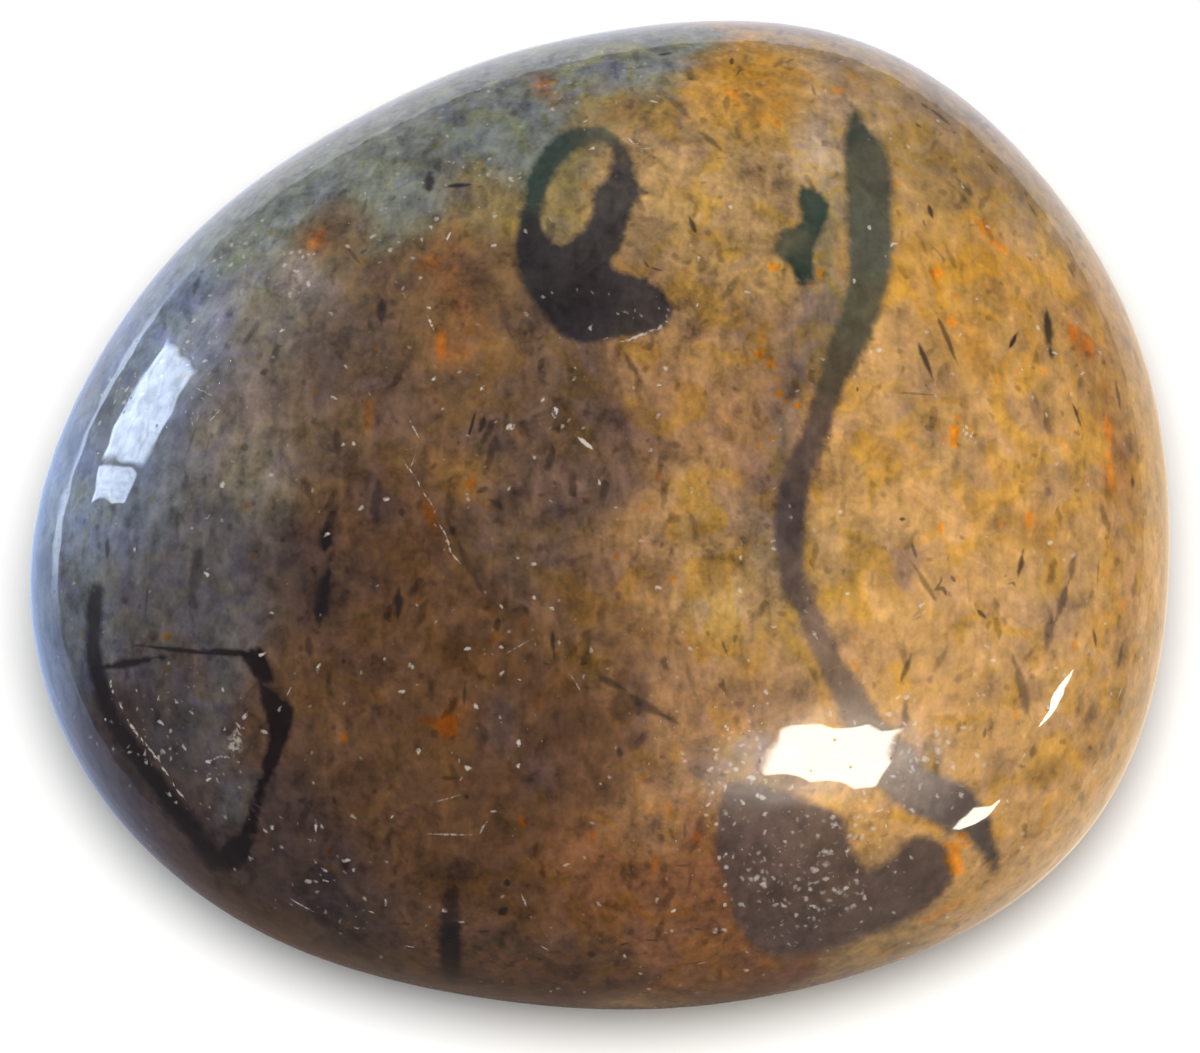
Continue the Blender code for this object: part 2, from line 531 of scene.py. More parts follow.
# %% Add the clouds
SMOKE = linear(62, 50, 46)
VIOLET_HAZE = linear(92, 80, 72)
RIBBON_HAZE = linear(82, 74, 64)
GREEN_HAZE = linear(84, 82, 60)
BLEACHED = linear(150, 132, 112)
HOLE_OLIVE = linear(88, 82, 62)
RUST_CLOUD = linear(122, 72, 24)
MUSTARD_CLOUD = linear(140, 98, 26)
CLOUDS = [
    # x, y, width and length in mm, lean clockwise in degrees, strength, colour
    (6.2, 3.9, 1.1, 3.6, 18, 0.8, RIBBON_HAZE), (5.2, 0.9, 1.0, 2.8, 20, 0.65, RIBBON_HAZE),
    (6.4, -6.0, 2.2, 2.4, 0, 0.3, VIOLET_HAZE), (4.8, -2.4, 1.2, 3.4, -5, 0.65, RIBBON_HAZE),
    (6.8, 7.0, 0.9, 4.4, 0, 0.75, GREEN_HAZE), (13.2, -3.6, 1.8, 2.6, 10, 0.4, VIOLET_HAZE),
    (9.0, 2.0, 1.4, 2.0, -20, 0.35, VIOLET_HAZE), (3.4, -4.4, 1.2, 1.6, 0, 0.3, BLEACHED),
    (5.5, 7.7, 0.8, 1.3, 0, 0.25, GREEN_HAZE), (-0.6, 8.9, 1.2, 1.6, 20, 0.55, GREEN_HAZE),
    (-2.75, -7.9, 0.9, 1.6, 0, 0.75, SMOKE), (-1.7, -8.9, 0.7, 1.5, 0, 0.6, SMOKE),
    (-8.4, 3.6, 0.8, 1.1, 0, 0.5, SMOKE), (-8.3, 2.6, 0.8, 1.2, 0, 0.55, SMOKE),
    (-6.8, 4.1, 1.0, 1.3, 0, 0.5, SMOKE), (-4.45, 1.95, 0.8, 0.9, 0, 0.5, SMOKE),
    (-2.75, 0.55, 0.8, 0.9, 0, 0.5, SMOKE), (-6.4, -1.3, 0.9, 2.0, 0, 0.45, SMOKE),
    (0.0, 1.35, 1.0, 3.0, -54, 0.6, SMOKE), (0.0, -1.0, 2.6, 1.4, -35, 0.3, SMOKE),
    (1.1, 6.2, 0.8, 1.4, 0, 0.5, SMOKE), (9.4, -7.9, 1.8, 1.0, 40, 0.5, BLEACHED),
    (-0.4, -2.2, 1.6, 1.2, 0, 0.3, SMOKE), (3.0, -10.3, 0.9, 1.8, 0, 0.35, RUST_CLOUD),
    (9.35, 1.2, 0.8, 1.3, 0, 0.4, VIOLET_HAZE), (13.7, 0.25, 0.9, 0.8, 0, 0.5, VIOLET_HAZE),
    (12.7, -0.4, 0.6, 0.8, 0, 0.45, VIOLET_HAZE), (10.5, -0.65, 0.6, 0.9, 0, 0.45, VIOLET_HAZE),
    (8.6, -3.0, 1.2, 2.0, -30, 0.4, VIOLET_HAZE), (-0.5, 6.9, 0.9, 0.9, 0, 0.4, SMOKE),
    (1.1, -7.2, 1.4, 0.8, 55, 0.6, SMOKE), (-12.2, -5.7, 2.0, 0.7, 80, 0.5, SMOKE),
    (-5.3, 9.3, 0.8, 1.5, -20, 0.6, SLATE), (-4.5, 8.9, 0.9, 1.2, 0, 0.4, SLATE),
    (2.6, 10.4, 0.6, 2.4, -30, 0.5, SMOKE), (11.0, 11.0, 1.6, 1.0, 0, 0.3, VIOLET_HAZE),
    (-4.2, 5.3, 3.4, 1.1, 80, 0.35, RUST_CLOUD), (-8.0, 7.2, 1.3, 0.7, 60, 0.4, RUST_CLOUD),
    (-1.5, 11.9, 1.0, 0.5, 80, 0.8, RUST_CLOUD), (-4.6, 3.2, 0.6, 1.3, 0, 0.4, RUST_CLOUD),
    (-4.4, -7.65, 0.9, 0.9, 0, 0.3, RUST_CLOUD), (15.1, 1.2, 0.7, 4.0, 0, 0.5, RUST_CLOUD),
    (14.2, 4.2, 1.2, 1.3, 0, 0.6, RUST_CLOUD), (0.7, 10.6, 1.2, 1.2, 0, 0.3, RUST_CLOUD),
    (-4.0, -0.4, 1.9, 1.3, 0, 0.25, MUSTARD_CLOUD), (4.7, 11.3, 1.6, 0.8, 70, 0.6, MUSTARD_CLOUD),
    (11.0, 3.2, 1.4, 1.0, 60, 0.6, MUSTARD_CLOUD), (12.4, -1.6, 1.2, 0.9, 70, 0.5, MUSTARD_CLOUD),
    (11.6, 6.9, 1.3, 1.6, -40, 0.5, MUSTARD_CLOUD), (14.4, -3.7, 0.7, 0.8, 0, 0.5, MUSTARD_CLOUD),
    (7.4, 12.2, 1.0, 0.8, 0, 0.5, MUSTARD_CLOUD), (8.3, 0.2, 1.2, 0.8, 60, 0.4, MUSTARD_CLOUD),
    (8.2, -10.4, 1.2, 1.0, 0, 0.7, GOLD), (9.6, -8.1, 1.4, 0.7, 60, 0.3, VIOLET_HAZE),
    (-8.4, 6.1, 1.0, 1.6, 30, 0.45, BLEACHED), (6.5, 9.7, 0.9, 2.4, 0, 0.4, BLEACHED),
    (-0.7, 7.9, 1.8, 3.0, 20, 0.8, HOLE_OLIVE), (-10.7, -7.7, 0.7, 0.9, 20, 0.5, DUSTY_GREY),
    (-12.2, -5.9, 0.9, 0.8, 0, 0.6, RUSSET), (-10.7, -9.2, 1.0, 1.8, 0, 0.4, COLD_GREY),
    (-11.8, -7.2, 2.6, 3.0, -30, 0.6, SLATE), (9.6, -9.2, 2.4, 1.2, 50, 0.6, VIOLET_HAZE),
    (4.6, -8.6, 1.6, 1.0, 0, 0.6, VIOLET_HAZE),
]


def oval_share(places, x, y, width, length, lean, under=False):
    """1 in the middle of a soft oval on the stone, falling to 0 outside it."""
    centre, _ = touch_down(x, y, under)
    lean = math.radians(lean)
    along = np.array([math.sin(lean), math.cos(lean), 0])
    across = np.array([math.cos(lean), -math.sin(lean), 0])
    offset = places - centre
    reach = (offset @ along / (length / 2)) ** 2 + (offset @ across / (width / 2)) ** 2
    reach += (offset[:, 2] / max(width, length)) ** 2
    return np.exp(-(reach**1.5) * 0.7)


for x, y, width, length, lean, strength, paint in CLOUDS:
    share = strength * oval_share(frayed_spots, x, y, width, length, lean)[:, None]
    ground = ground * (1 - share) + share * np.array(paint[:3])

# Painted warm light: everything east of the grey side, which faces the warm lamp, is warmed by the same small
# amount.
PAINTED_WARM_LIGHT = np.array([1.03, 0.985, 1.0])
warm = np.clip((spots[:, :1] + 8) / 8, 0, 1)
ground *= 1 + warm * (PAINTED_WARM_LIGHT - 1)


def write_colours(name, colours):
    layer = stone.data.attributes.new(name, "FLOAT_COLOR", "POINT")
    values = np.ones((len(colours), 4), np.float32)
    values[:, :3] = colours
    layer.data.foreach_set("color", values.ravel())


def write_numbers(name, numbers):
    layer = stone.data.attributes.new(name, "FLOAT", "POINT")
    layer.data.foreach_set("value", numbers.astype(np.float32))


write_colours("ground", ground)
print("clouds", len(CLOUDS))

# %% [markdown]
# ## The dark markings
#
# The stone's signature is a set of dark shapes with clean edges: a ring that runs into a
# comma, a long ribbon with a green blob beside it, a speckled blob at the lower right, a
# shield drawn in black at the lower left and a short bar at the foot. Each is drawn as a
# closed curve, or for two thin strokes of the shield as an open line, through a few points
# in millimetres, seen from above. The shield's top is finer still, and is drawn with needles
# below. What the mesh carries is not the shape but the distance to its edge, because
# distance stays smooth between the mesh points and the material can turn it into an edge as
# sharp as the real one.

# %% Draw the outlines
RING = [
    (-0.5, 10.25), (0.06, 10.25), (0.5, 9.85), (0.87, 9.37), (1.03, 8.62), (1.15, 8.2),
    (1.5, 8.0), (1.05, 7.75), (0.81, 7.06), (0.62, 6.25), (0.31, 5.75), (0.62, 5.53),
    (1.31, 5.31), (1.81, 4.94), (2.12, 4.37), (2.06, 4.0), (1.62, 3.69), (1.0, 3.56),
    (0.0, 3.37), (-0.5, 3.31), (-1.0, 3.5), (-1.5, 4.0), (-2.0, 4.69), (-2.31, 5.37),
    (-2.47, 6.25), (-2.34, 7.19), (-2.19, 8.0), (-2.06, 8.75), (-1.69, 9.5), (-1.12, 10.06),
]
RING_HOLE = [
    (0.0, 9.69), (-0.62, 9.5), (-1.12, 8.94), (-1.5, 8.25), (-1.66, 7.37), (-1.66, 6.87),
    (-1.37, 6.44), (-1.0, 6.44), (-0.5, 6.81), (-0.25, 7.37), (-0.19, 8.0), (0.12, 8.37),
    (0.37, 9.0), (0.31, 9.44),
]
RIBBON = [
    (7.58, 11.04), (7.83, 10.5), (8.17, 10.17), (8.46, 9.67), (8.54, 9.0), (8.54, 7.5),
    (8.54, 6.2), (8.29, 4.92), (8.0, 4.08), (7.67, 3.33), (7.29, 2.58), (7.0, 1.92),
    (6.75, 1.08), (6.37, 0.0), (6.08, -0.67), (5.95, -1.7), (5.92, -3.0), (6.12, -3.83),
    (6.58, -4.67), (7.0, -5.67), (7.5, -6.33), (8.0, -7.08), (8.6, -7.6), (9.58, -8.67),
    (10.25, -8.83), (10.75, -9.0), (11.2, -9.58), (11.5, -10.17), (11.75, -11.1),
    (11.45, -11.15), (11.15, -10.75), (10.7, -10.4), (10.1, -10.2), (9.4, -10.0),
    (8.6, -9.6), (7.8, -8.9), (7.2, -8.0), (6.8, -7.1), (6.5, -6.3), (6.17, -5.67),
    (5.83, -4.92), (5.58, -4.33), (5.21, -3.75), (5.08, -3.0), (5.0, -2.0), (5.08, -0.9),
    (5.33, -0.17), (5.67, 0.5), (5.92, 1.17), (6.12, 1.92), (6.33, 2.58), (6.58, 3.42),
    (6.83, 4.08), (7.08, 4.83), (7.17, 5.5), (7.2, 7.0), (7.16, 8.5), (7.14, 9.67),
    (7.25, 10.25), (7.33, 10.96),
]
GREEN_BLOB = [
    (6.0, 8.37), (6.67, 7.92), (6.62, 7.33), (6.33, 6.67), (6.21, 6.0), (6.21, 5.33),
    (5.75, 5.25), (5.54, 5.75), (5.17, 6.08), (5.08, 6.5), (5.29, 6.92), (5.75, 7.08),
    (5.92, 7.42), (5.79, 8.0),
]
SPECKLED_BLOB = [
    (3.5, -9.67), (3.33, -10.5), (3.42, -11.33), (3.67, -12.0), (3.92, -12.83),
    (4.42, -13.4), (5.33, -13.75), (6.33, -13.6), (7.33, -13.3), (8.33, -12.95),
    (9.17, -12.55), (9.83, -12.1), (10.25, -11.67), (10.33, -11.17), (10.08, -10.67),
    (9.67, -10.42), (9.25, -10.42), (8.83, -10.67), (8.5, -11.04), (8.0, -11.33),
    (7.67, -11.33), (7.42, -11.0), (7.17, -10.5), (7.08, -10.08), (6.67, -9.83),
    (5.83, -9.58), (5.08, -9.33), (4.25, -9.17), (3.75, -9.25),
]
SHIELD_BAR = [
    (-10.33, -5.37), (-9.75, -5.33), (-9.5, -6.08), (-9.3, -6.7), (-8.85, -6.95),
    (-8.96, -7.67), (-9.25, -8.33), (-9.6, -9.0), (-9.83, -9.67), (-10.04, -10.5),
    (-10.4, -11.1), (-10.83, -11.25), (-11.17, -11.0), (-10.9, -10.5), (-10.5, -10.3),
    (-10.17, -9.67), (-9.9, -8.83), (-9.67, -8.1), (-9.6, -7.5), (-9.83, -6.83),
    (-9.92, -6.2), (-10.3, -5.67),
]
FOOT_BAR = [
    (-4.5, -12.0), (-4.15, -12.0), (-4.03, -12.8), (-4.03, -13.6), (-4.1, -14.2),
    (-4.6, -14.2), (-4.72, -13.6), (-4.66, -12.8),
]
SHIELD_SIDE = [
    (-14.75, -3.25), (-14.8, -4.08), (-14.87, -5.0), (-14.67, -5.67), (-14.5, -6.33),
    (-14.25, -7.0), (-13.9, -7.5), (-13.4, -8.17), (-12.9, -8.83), (-12.5, -9.4),
    (-12.0, -10.0), (-11.6, -10.6), (-11.2, -11.0),
]
SHIELD_KNOT = [(-13.4, -5.2), (-13.25, -4.9), (-12.95, -4.75)]


def smooth_loop(corners, steps=5):
    """A closed curve that passes through the corners, as points along it."""
    here = np.array(corners, float)
    before, after, beyond = (np.roll(here, shift, axis=0) for shift in (1, -1, -2))
    spans = []
    for t in np.arange(steps) / steps:
        bend = 2 * before - 5 * here + 4 * after - beyond
        twist = 3 * here - before - 3 * after + beyond
        spans.append(here + 0.5 * ((after - before) * t + bend * t**2 + twist * t**3))
    return np.stack(spans, axis=1).reshape(-1, 2)


def distance_to_loop(places, corners):
    """How far each place, seen from above, is from the curve in mm: negative inside it."""
    start = smooth_loop(corners)
    nearest = np.full(len(places), np.inf)
    inside = np.zeros(len(places), bool)
    for a, b in zip(start, np.roll(start, -1, axis=0)):
        side = b - a
        share = np.clip((places - a) @ side / (side @ side), 0, 1)
        nearest = np.minimum(nearest, np.linalg.norm(places - a - share[:, None] * side, axis=1))
        crossing = (a[1] > places[:, 1]) != (b[1] > places[:, 1])
        rise = side[1] if side[1] else 1.0
        inside ^= crossing & (places[:, 0] < a[0] + (places[:, 1] - a[1]) * side[0] / rise)
    return np.where(inside, -nearest, nearest)


def distance_to_line(places, corners, half_width):
    """The same for a drawn line of this half width, open at its ends."""
    nearest = np.full(len(places), np.inf)
    corners = np.array(corners, float)
    for a, b in zip(corners, corners[1:]):
        side = b - a
        share = np.clip((places - a) @ side / (side @ side), 0, 1)
        nearest = np.minimum(nearest, np.linalg.norm(places - a - share[:, None] * side, axis=1))
    return nearest - half_width


# %% [markdown]
# ## The colour inside the markings
#
# The ring is bottle green at the top and near-black violet in the comma, the ribbon goes
# from grey-green to umber. So each marking carries a few colours at places of its own, and
# its own softness of edge, and a point of the mesh takes both from its nearest marking.

# %% Gather the markings
BOTTLE_GREEN = linear(26, 42, 36)
NIGHT_VIOLET = linear(24, 21, 25)
COMMA_GREY = linear(40, 37, 38)
SMOKE_VIOLET = linear(50, 43, 43)
OLIVE_SMOKE = linear(58, 57, 44)
MOSS_GREY = linear(58, 62, 53)
DARK_UMBER = linear(52, 46, 36)
SOOT_BROWN = linear(40, 26, 20)
DUST_BROWN = linear(66, 53, 48)
FADED_BROWN = linear(88, 72, 60)
HAZED_BROWN = linear(108, 97, 90)
TAR = linear(12, 7, 9)

MARKINGS = [
    # corners, half the width of a line or 0 for a closed outline, edge softness in mm,
    # and colours at places
    (RING, 0, 0.14, [(-1.2, 9.8, BOTTLE_GREEN), (-2.0, 8.4, BOTTLE_GREEN), (-1.9, 6.6, NIGHT_VIOLET),
                     (-0.4, 4.8, NIGHT_VIOLET), (1.4, 4.4, COMMA_GREY), (0.4, 7.2, COMMA_GREY),
                     (0.6, 8.6, COMMA_GREY), (0.5, 9.4, DARK_UMBER), (0.1, 10.0, OLIVE_SMOKE)]),
    (RIBBON, 0, 0.18, [(7.7, 10.6, BOTTLE_GREEN), (8.1, 9.4, OLIVE_SMOKE), (8.0, 6.4, MOSS_GREY),
                       (7.5, 4.8, OLIVE_SMOKE), (6.7, 2.4, DARK_UMBER), (6.1, 0.8, DUST_BROWN),
                       (5.5, -2.0, SMOKE_VIOLET), (5.6, -3.2, DUST_BROWN), (6.5, -5.2, FADED_BROWN),
                       (8.0, -8.0, FADED_BROWN), (9.3, -8.6, HAZED_BROWN), (10.9, -9.9, SMOKE_VIOLET)]),
    (GREEN_BLOB, 0, 0.13, [(6.2, 7.6, BOTTLE_GREEN), (5.4, 6.6, OLIVE_SMOKE), (5.9, 5.8, BOTTLE_GREEN)]),
    (SPECKLED_BLOB, 0, 0.18, [(4.4, -11.2, DUST_BROWN), (9.4, -11.4, DUST_BROWN), (6.8, -12.8, DUST_BROWN)]),
    (SHIELD_BAR, 0, 0.10, [(-9.7, -6.2, TAR), (-9.4, -7.8, TAR), (-10.4, -10.6, TAR)]),
    (SHIELD_SIDE, 0.26, 0.14, [(-14.8, -4.0, NIGHT_VIOLET), (-14.4, -6.6, TAR), (-12.6, -9.4, TAR)]),
    (SHIELD_KNOT, 0.10, 0.12, [(-13.2, -4.9, SOOT_BROWN)]),
    (FOOT_BAR, 0, 0.16, [(-4.35, -12.2, SOOT_BROWN), (-4.35, -13.5, TAR)]),
]
FADE_DEPTH = 7.6
FADE_RATE = 0.5


def paint_markings(places):
    """Edge distance, edge softness and colour of the nearest marking, for each place."""
    seen = places[:, :2]
    nearest = np.full(len(places), 9.0)
    softness = np.full(len(places), 0.12)
    colour = np.tile(np.array(SMOKE_VIOLET[:3]), (len(places), 1))
    deep = np.maximum(0, FADE_DEPTH - places[:, 2]) * FADE_RATE
    for outline, half_width, soft, tints in MARKINGS:
        low, high = np.min(outline, axis=0) - 2, np.max(outline, axis=0) + 2
        near = np.flatnonzero(((seen > low) & (seen < high)).all(axis=1) & (places[:, 2] > 5))
        if half_width:
            gap = distance_to_line(seen[near], outline, half_width)
        else:
            gap = distance_to_loop(seen[near], outline)
        if outline is RING:
            gap = np.maximum(gap, -distance_to_loop(seen[near], RING_HOLE))
        gap += deep[near]
        pull = np.array([1 / (0.05 + np.sum((seen[near] - tint[:2]) ** 2, axis=1)) ** 1.5 for tint in tints])
        mixed = pull.T @ np.array([tint[2][:3] for tint in tints]) / pull.sum(axis=0)[:, None]
        closer = gap < nearest[near]
        chosen = near[closer]
        nearest[chosen] = gap[closer]
        softness[chosen] = soft
        colour[chosen] = mixed[closer]
    return nearest, softness, colour


edge_gap, edge_softness, marking_colour = paint_markings(spots)
write_numbers("marking_gap", edge_gap)
write_numbers("marking_softness", edge_softness)
write_colours("marking_colour", marking_colour)
print("markings cover", f"{np.mean(edge_gap < 0):.1%}", "of the points")

# %% [markdown]
# ## Needles, rust spots and pale fibres
#
# The stone is full of small things: dark needle crystals like grains of rice, most of them
# upright, rust-orange specks, and white fibres. They are finer than the mesh, so painting
# them on its points would blur them. Instead each point stores where it lies in the frame
# of its nearest small mark: along it and across it, in half lengths and half widths. Those
# numbers change evenly from point to point, so the material can draw a lens of any
# thinness from them, with pointed ends and soft sides.

# %% Place the needles
NEEDLES = [
    # x, y, width and length in mm, lean clockwise in degrees, darkness: the grey side
    (-7.98, -3.95, 0.52, 1.95, 12, 1.0), (-7.92, -2.35, 0.46, 1.1, 8, 1.0),
    (-7.2, -3.35, 0.34, 0.6, 40, 0.45), (-5.8, -4.2, 0.30, 1.0, 5, 0.9),
    (-6.35, 4.45, 0.32, 0.9, -5, 0.8), (-11.75, -3.1, 0.42, 2.3, 14, 0.5),
    (-3.7, 0.9, 0.09, 1.0, 15, 0.8), (-3.4, 0.95, 0.20, 0.6, 15, 0.8),
    (-7.6, 0.45, 0.30, 0.8, -5, 0.6), (-6.45, -1.3, 0.34, 1.5, 4, 0.55),
    (-4.35, -1.4, 0.32, 1.0, 0, 0.5), (-3.4, -1.0, 0.2, 0.35, 60, 0.6),
    (-3.0, -1.4, 0.22, 0.5, -50, 0.6), (-5.7, -1.6, 0.2, 0.3, 0, 0.6),
    (-10.3, 0.55, 0.25, 0.35, 80, 0.5), (-9.75, 2.8, 0.22, 0.32, 90, 0.7),
    (-13.75, -5.42, 0.28, 2.9, 79, 1.0), (-12.1, -5.24, 0.15, 3.6, 92, 0.95),
    (-10.75, -5.40, 0.26, 1.7, 94, 1.0), (-14.4, -2.0, 0.20, 0.6, 0, 0.7),
    (-13.2, -3.7, 0.1, 1.1, 12, 0.5), (-11.9, 0.9, 0.12, 0.9, 20, 0.35),
    (-8.4, -5.4, 0.26, 0.7, -5, 0.6), (-7.4, -5.8, 0.14, 0.2, 0, 0.7),
    (-7.7, -9.6, 0.14, 0.3, 0, 0.6), (-7.4, -11.3, 0.24, 0.36, 0, 0.8),
    (-5.7, -12.9, 0.2, 0.4, 80, 0.6), (-6.9, 7.9, 0.16, 0.9, 0, 0.45),
    (-4.15, 8.4, 0.18, 0.85, 95, 0.95), (-5.0, 8.6, 0.34, 0.8, -8, 0.9),
    (-7.2, 6.3, 0.12, 0.9, -35, 0.5), (-6.9, 6.4, 0.12, 0.3, 60, 0.6),
    # round the middle
    (2.7, 7.0, 0.20, 0.62, -20, 0.85), (1.35, 5.75, 0.09, 0.35, -35, 0.6),
    (1.65, 5.6, 0.09, 0.35, -75, 0.6), (3.9, 12.6, 0.16, 0.45, 5, 0.8),
    (4.1, 12.2, 0.1, 0.4, 20, 0.6), (1.9, 12.9, 0.16, 0.5, 75, 0.8),
    (1.2, 12.4, 0.16, 0.9, 80, 0.35), (2.3, 10.9, 0.26, 1.3, -32, 0.4),
    (3.25, 9.75, 0.24, 0.9, -38, 0.6), (5.6, 12.7, 0.08, 0.4, 40, 0.5),
    (-2.0, 3.8, 0.22, 0.5, -10, 0.45), (0.9, 2.7, 0.2, 0.7, -30, 0.5),
    (1.4, 3.25, 0.2, 0.4, 80, 0.35), (-1.7, 3.2, 0.14, 0.3, 40, 0.4),
    (3.95, 4.1, 0.2, 0.3, 20, 0.35), (4.2, 3.2, 0.14, 0.8, -10, 0.3),
    (-0.45, -5.95, 0.14, 0.3, 80, 0.7), (0.35, -6.5, 0.22, 1.1, -62, 0.65),
    (1.3, -7.1, 0.28, 1.6, -60, 0.55), (2.05, -7.5, 0.18, 0.7, -62, 0.5),
    (-3.75, -3.2, 0.24, 1.9, -26, 0.5),
    (-1.35, -5.4, 0.16, 0.75, -5, 0.8), (-2.95, -4.85, 0.22, 0.4, 0, 0.6),
    (-3.9, -6.8, 0.12, 0.7, 5, 0.6), (0.57, -8.4, 0.20, 0.4, 0, 0.8),
    (-4.4, -9.1, 0.16, 0.45, 90, 0.6), (-3.85, -9.62, 0.1, 0.16, 0, 0.8),
    (1.85, -5.9, 0.24, 0.4, 0, 0.45), (2.6, -6.3, 0.2, 1.0, -15, 0.35),
    (-2.7, -11.9, 0.2, 0.28, 0, 0.8), (-2.85, -12.65, 0.3, 0.5, 40, 0.85),
    (-3.35, -13.15, 0.14, 0.3, 80, 0.7), (-0.25, -13.75, 0.28, 0.34, 0, 0.75),
    (-2.6, -14.0, 0.14, 0.4, 85, 0.6), (0.7, -13.5, 0.08, 0.3, 60, 0.7),
    (1.5, -13.4, 0.08, 0.45, -75, 0.6), (2.85, -13.1, 0.08, 0.3, -60, 0.6),
    (2.6, -11.85, 0.1, 0.4, 0, 0.4), (2.4, -11.45, 0.08, 0.45, 90, 0.5),
    (2.45, -10.5, 0.12, 0.45, -5, 0.5), (0.9, -11.5, 0.12, 0.5, -5, 0.4),
    (3.6, -5.5, 0.1, 0.5, -25, 0.5), (3.9, -5.2, 0.14, 0.3, 0, 0.5),
    # the golden side
    (9.6, 11.5, 0.2, 0.4, -50, 0.6), (10.05, 11.2, 0.22, 0.9, -50, 0.6),
    (9.7, 7.83, 0.18, 0.55, -5, 0.85), (6.3, 11.6, 0.12, 0.6, 0, 0.5),
    (10.75, 8.75, 0.26, 0.8, -40, 0.45), (10.3, 6.35, 0.2, 1.0, -20, 0.4),
    (9.4, 10.7, 0.16, 0.3, -50, 0.6), (7.46, 2.17, 0.08, 0.14, 0, 0.7),
    (13.17, 4.42, 0.36, 1.6, 4, 0.9), (12.1, 4.0, 0.16, 0.7, 35, 0.95),
    (10.1, 3.9, 0.18, 1.6, -22, 0.7), (9.45, 3.2, 0.2, 1.2, -22, 0.85),
    (14.0, 1.95, 0.12, 0.8, -28, 0.7), (9.2, 2.12, 0.08, 1.3, 88, 0.45),
    (15.3, 2.75, 0.2, 0.9, -5, 0.6), (15.7, 0.25, 0.16, 0.5, 0, 0.5),
    (12.25, -2.65, 0.2, 0.8, 10, 0.8), (13.8, -2.6, 0.32, 0.7, 15, 0.6),
    (13.5, -3.6, 0.32, 1.1, 20, 0.65), (13.1, -4.5, 0.4, 1.1, 12, 0.6),
    (14.5, -4.5, 0.14, 0.6, -25, 0.75), (15.3, -4.9, 0.2, 0.9, 5, 0.5),
    (11.1, -4.2, 0.16, 0.35, -50, 0.75), (10.25, -3.25, 0.12, 0.25, -50, 0.7),
    (8.75, -1.6, 0.12, 0.22, 90, 0.75), (9.1, -2.5, 0.12, 0.5, -20, 0.6),
    (9.4, -3.4, 0.2, 1.4, -38, 0.55), (8.85, -5.9, 0.18, 1.0, 18, 0.65),
    (12.3, -6.2, 0.34, 1.8, -28, 0.6), (12.65, -7.9, 0.26, 0.5, 0, 0.55),
    (11.2, -7.5, 0.14, 0.35, 0, 0.6), (14.6, -2.6, 0.08, 1.1, 0, 0.4),
    (9.5, 6.6, 0.2, 0.5, -10, 0.3), (12.8, 8.4, 0.14, 0.6, -30, 0.5),
    (11.6, 9.6, 0.14, 0.5, -40, 0.5), (13.9, 6.6, 0.16, 0.6, -20, 0.45),
]
RUST_SPOTS = [
    # x, y, width and length in mm, lean, strength
    (5.04, 5.75, 0.30, 0.30, 0, 1.0), (6.4, 5.6, 0.22, 0.42, 0, 0.9),
    (4.7, 3.8, 0.16, 0.16, 0, 0.7), (4.6, 3.1, 0.30, 0.30, 0, 1.0),
    (4.95, 2.8, 0.24, 0.36, -30, 1.0), (5.17, 1.92, 0.26, 0.26, 0, 1.0),
    (5.73, 1.6, 0.22, 0.22, 0, 1.0), (5.0, 0.6, 0.20, 0.20, 0, 0.8),
    (11.3, 7.5, 0.5, 0.5, 0, 0.9), (11.85, 6.85, 0.34, 0.34, 0, 0.8),
    (9.85, 5.9, 0.4, 0.3, 0, 0.9), (10.25, 4.4, 0.3, 0.36, 0, 0.8),
    (10.3, 0.95, 0.3, 0.75, 5, 1.0), (11.6, 2.75, 0.16, 0.16, 0, 0.9),
    (13.0, 3.2, 0.3, 0.3, 0, 0.5), (13.9, 4.5, 0.35, 0.6, 0, 0.9),
    (14.4, 4.2, 0.4, 0.7, 0, 0.8), (14.95, 1.7, 0.36, 0.9, 0, 0.8),
    (15.0, 0.3, 0.3, 0.9, 0, 0.6), (12.5, -1.35, 0.36, 0.6, 0, 0.8),
    (11.65, -1.5, 0.24, 0.3, 0, 0.7), (9.9, -1.8, 0.2, 0.3, 0, 0.7),
    (7.0, 11.7, 0.3, 0.3, 0, 0.8), (7.5, 12.3, 0.5, 0.3, 0, 0.6),
    (3.9, 11.4, 0.4, 0.4, 0, 0.6), (-1.6, 11.9, 0.4, 0.8, 70, 0.7),
    (-3.75, -0.8, 0.3, 0.3, 0, 0.8), (-4.9, -1.7, 0.34, 1.1, -15, 0.8),
    (-4.6, 3.3, 0.3, 0.8, 0, 0.8), (-4.4, -7.65, 0.6, 0.7, 0, 1.0),
    (-5.1, -7.5, 0.2, 0.3, 0, 0.7), (-7.4, -7.95, 0.3, 0.36, 0, 0.9),
    (-4.87, -12.9, 0.26, 0.26, 0, 0.8), (-6.6, -12.6, 0.3, 0.24, 0, 0.7),
    (-2.25, -10.3, 0.24, 0.4, 0, 0.9), (-0.2, -10.7, 0.2, 0.28, 0, 0.8),
    (-1.5, -10.9, 0.2, 0.2, 0, 0.5), (1.6, -11.4, 0.2, 0.6, 0, 0.7),
    (2.8, -10.7, 0.22, 0.5, 0, 0.8), (-12.6, -4.8, 0.3, 0.26, 0, 0.9),
    (10.35, -11.0, 0.55, 1.3, -28, 1.0), (9.9, -12.4, 0.28, 1.4, 56, 0.8),
    (8.6, -13.3, 0.2, 1.0, 62, 0.5), (10.6, -10.35, 0.3, 0.5, -60, 0.8),
    (-10.2, -1.25, 0.3, 0.3, 0, 0.4), (-6.7, 1.3, 0.4, 1.2, 0, 0.5),
    (-8.3, 6.9, 0.6, 0.8, 40, 0.6), (-5.0, 5.9, 0.6, 0.8, 60, 0.5),
    (2.0, -9.9, 0.16, 0.5, 0, 0.5), (15.4, -3.4, 0.3, 0.4, 0, 0.5),
]
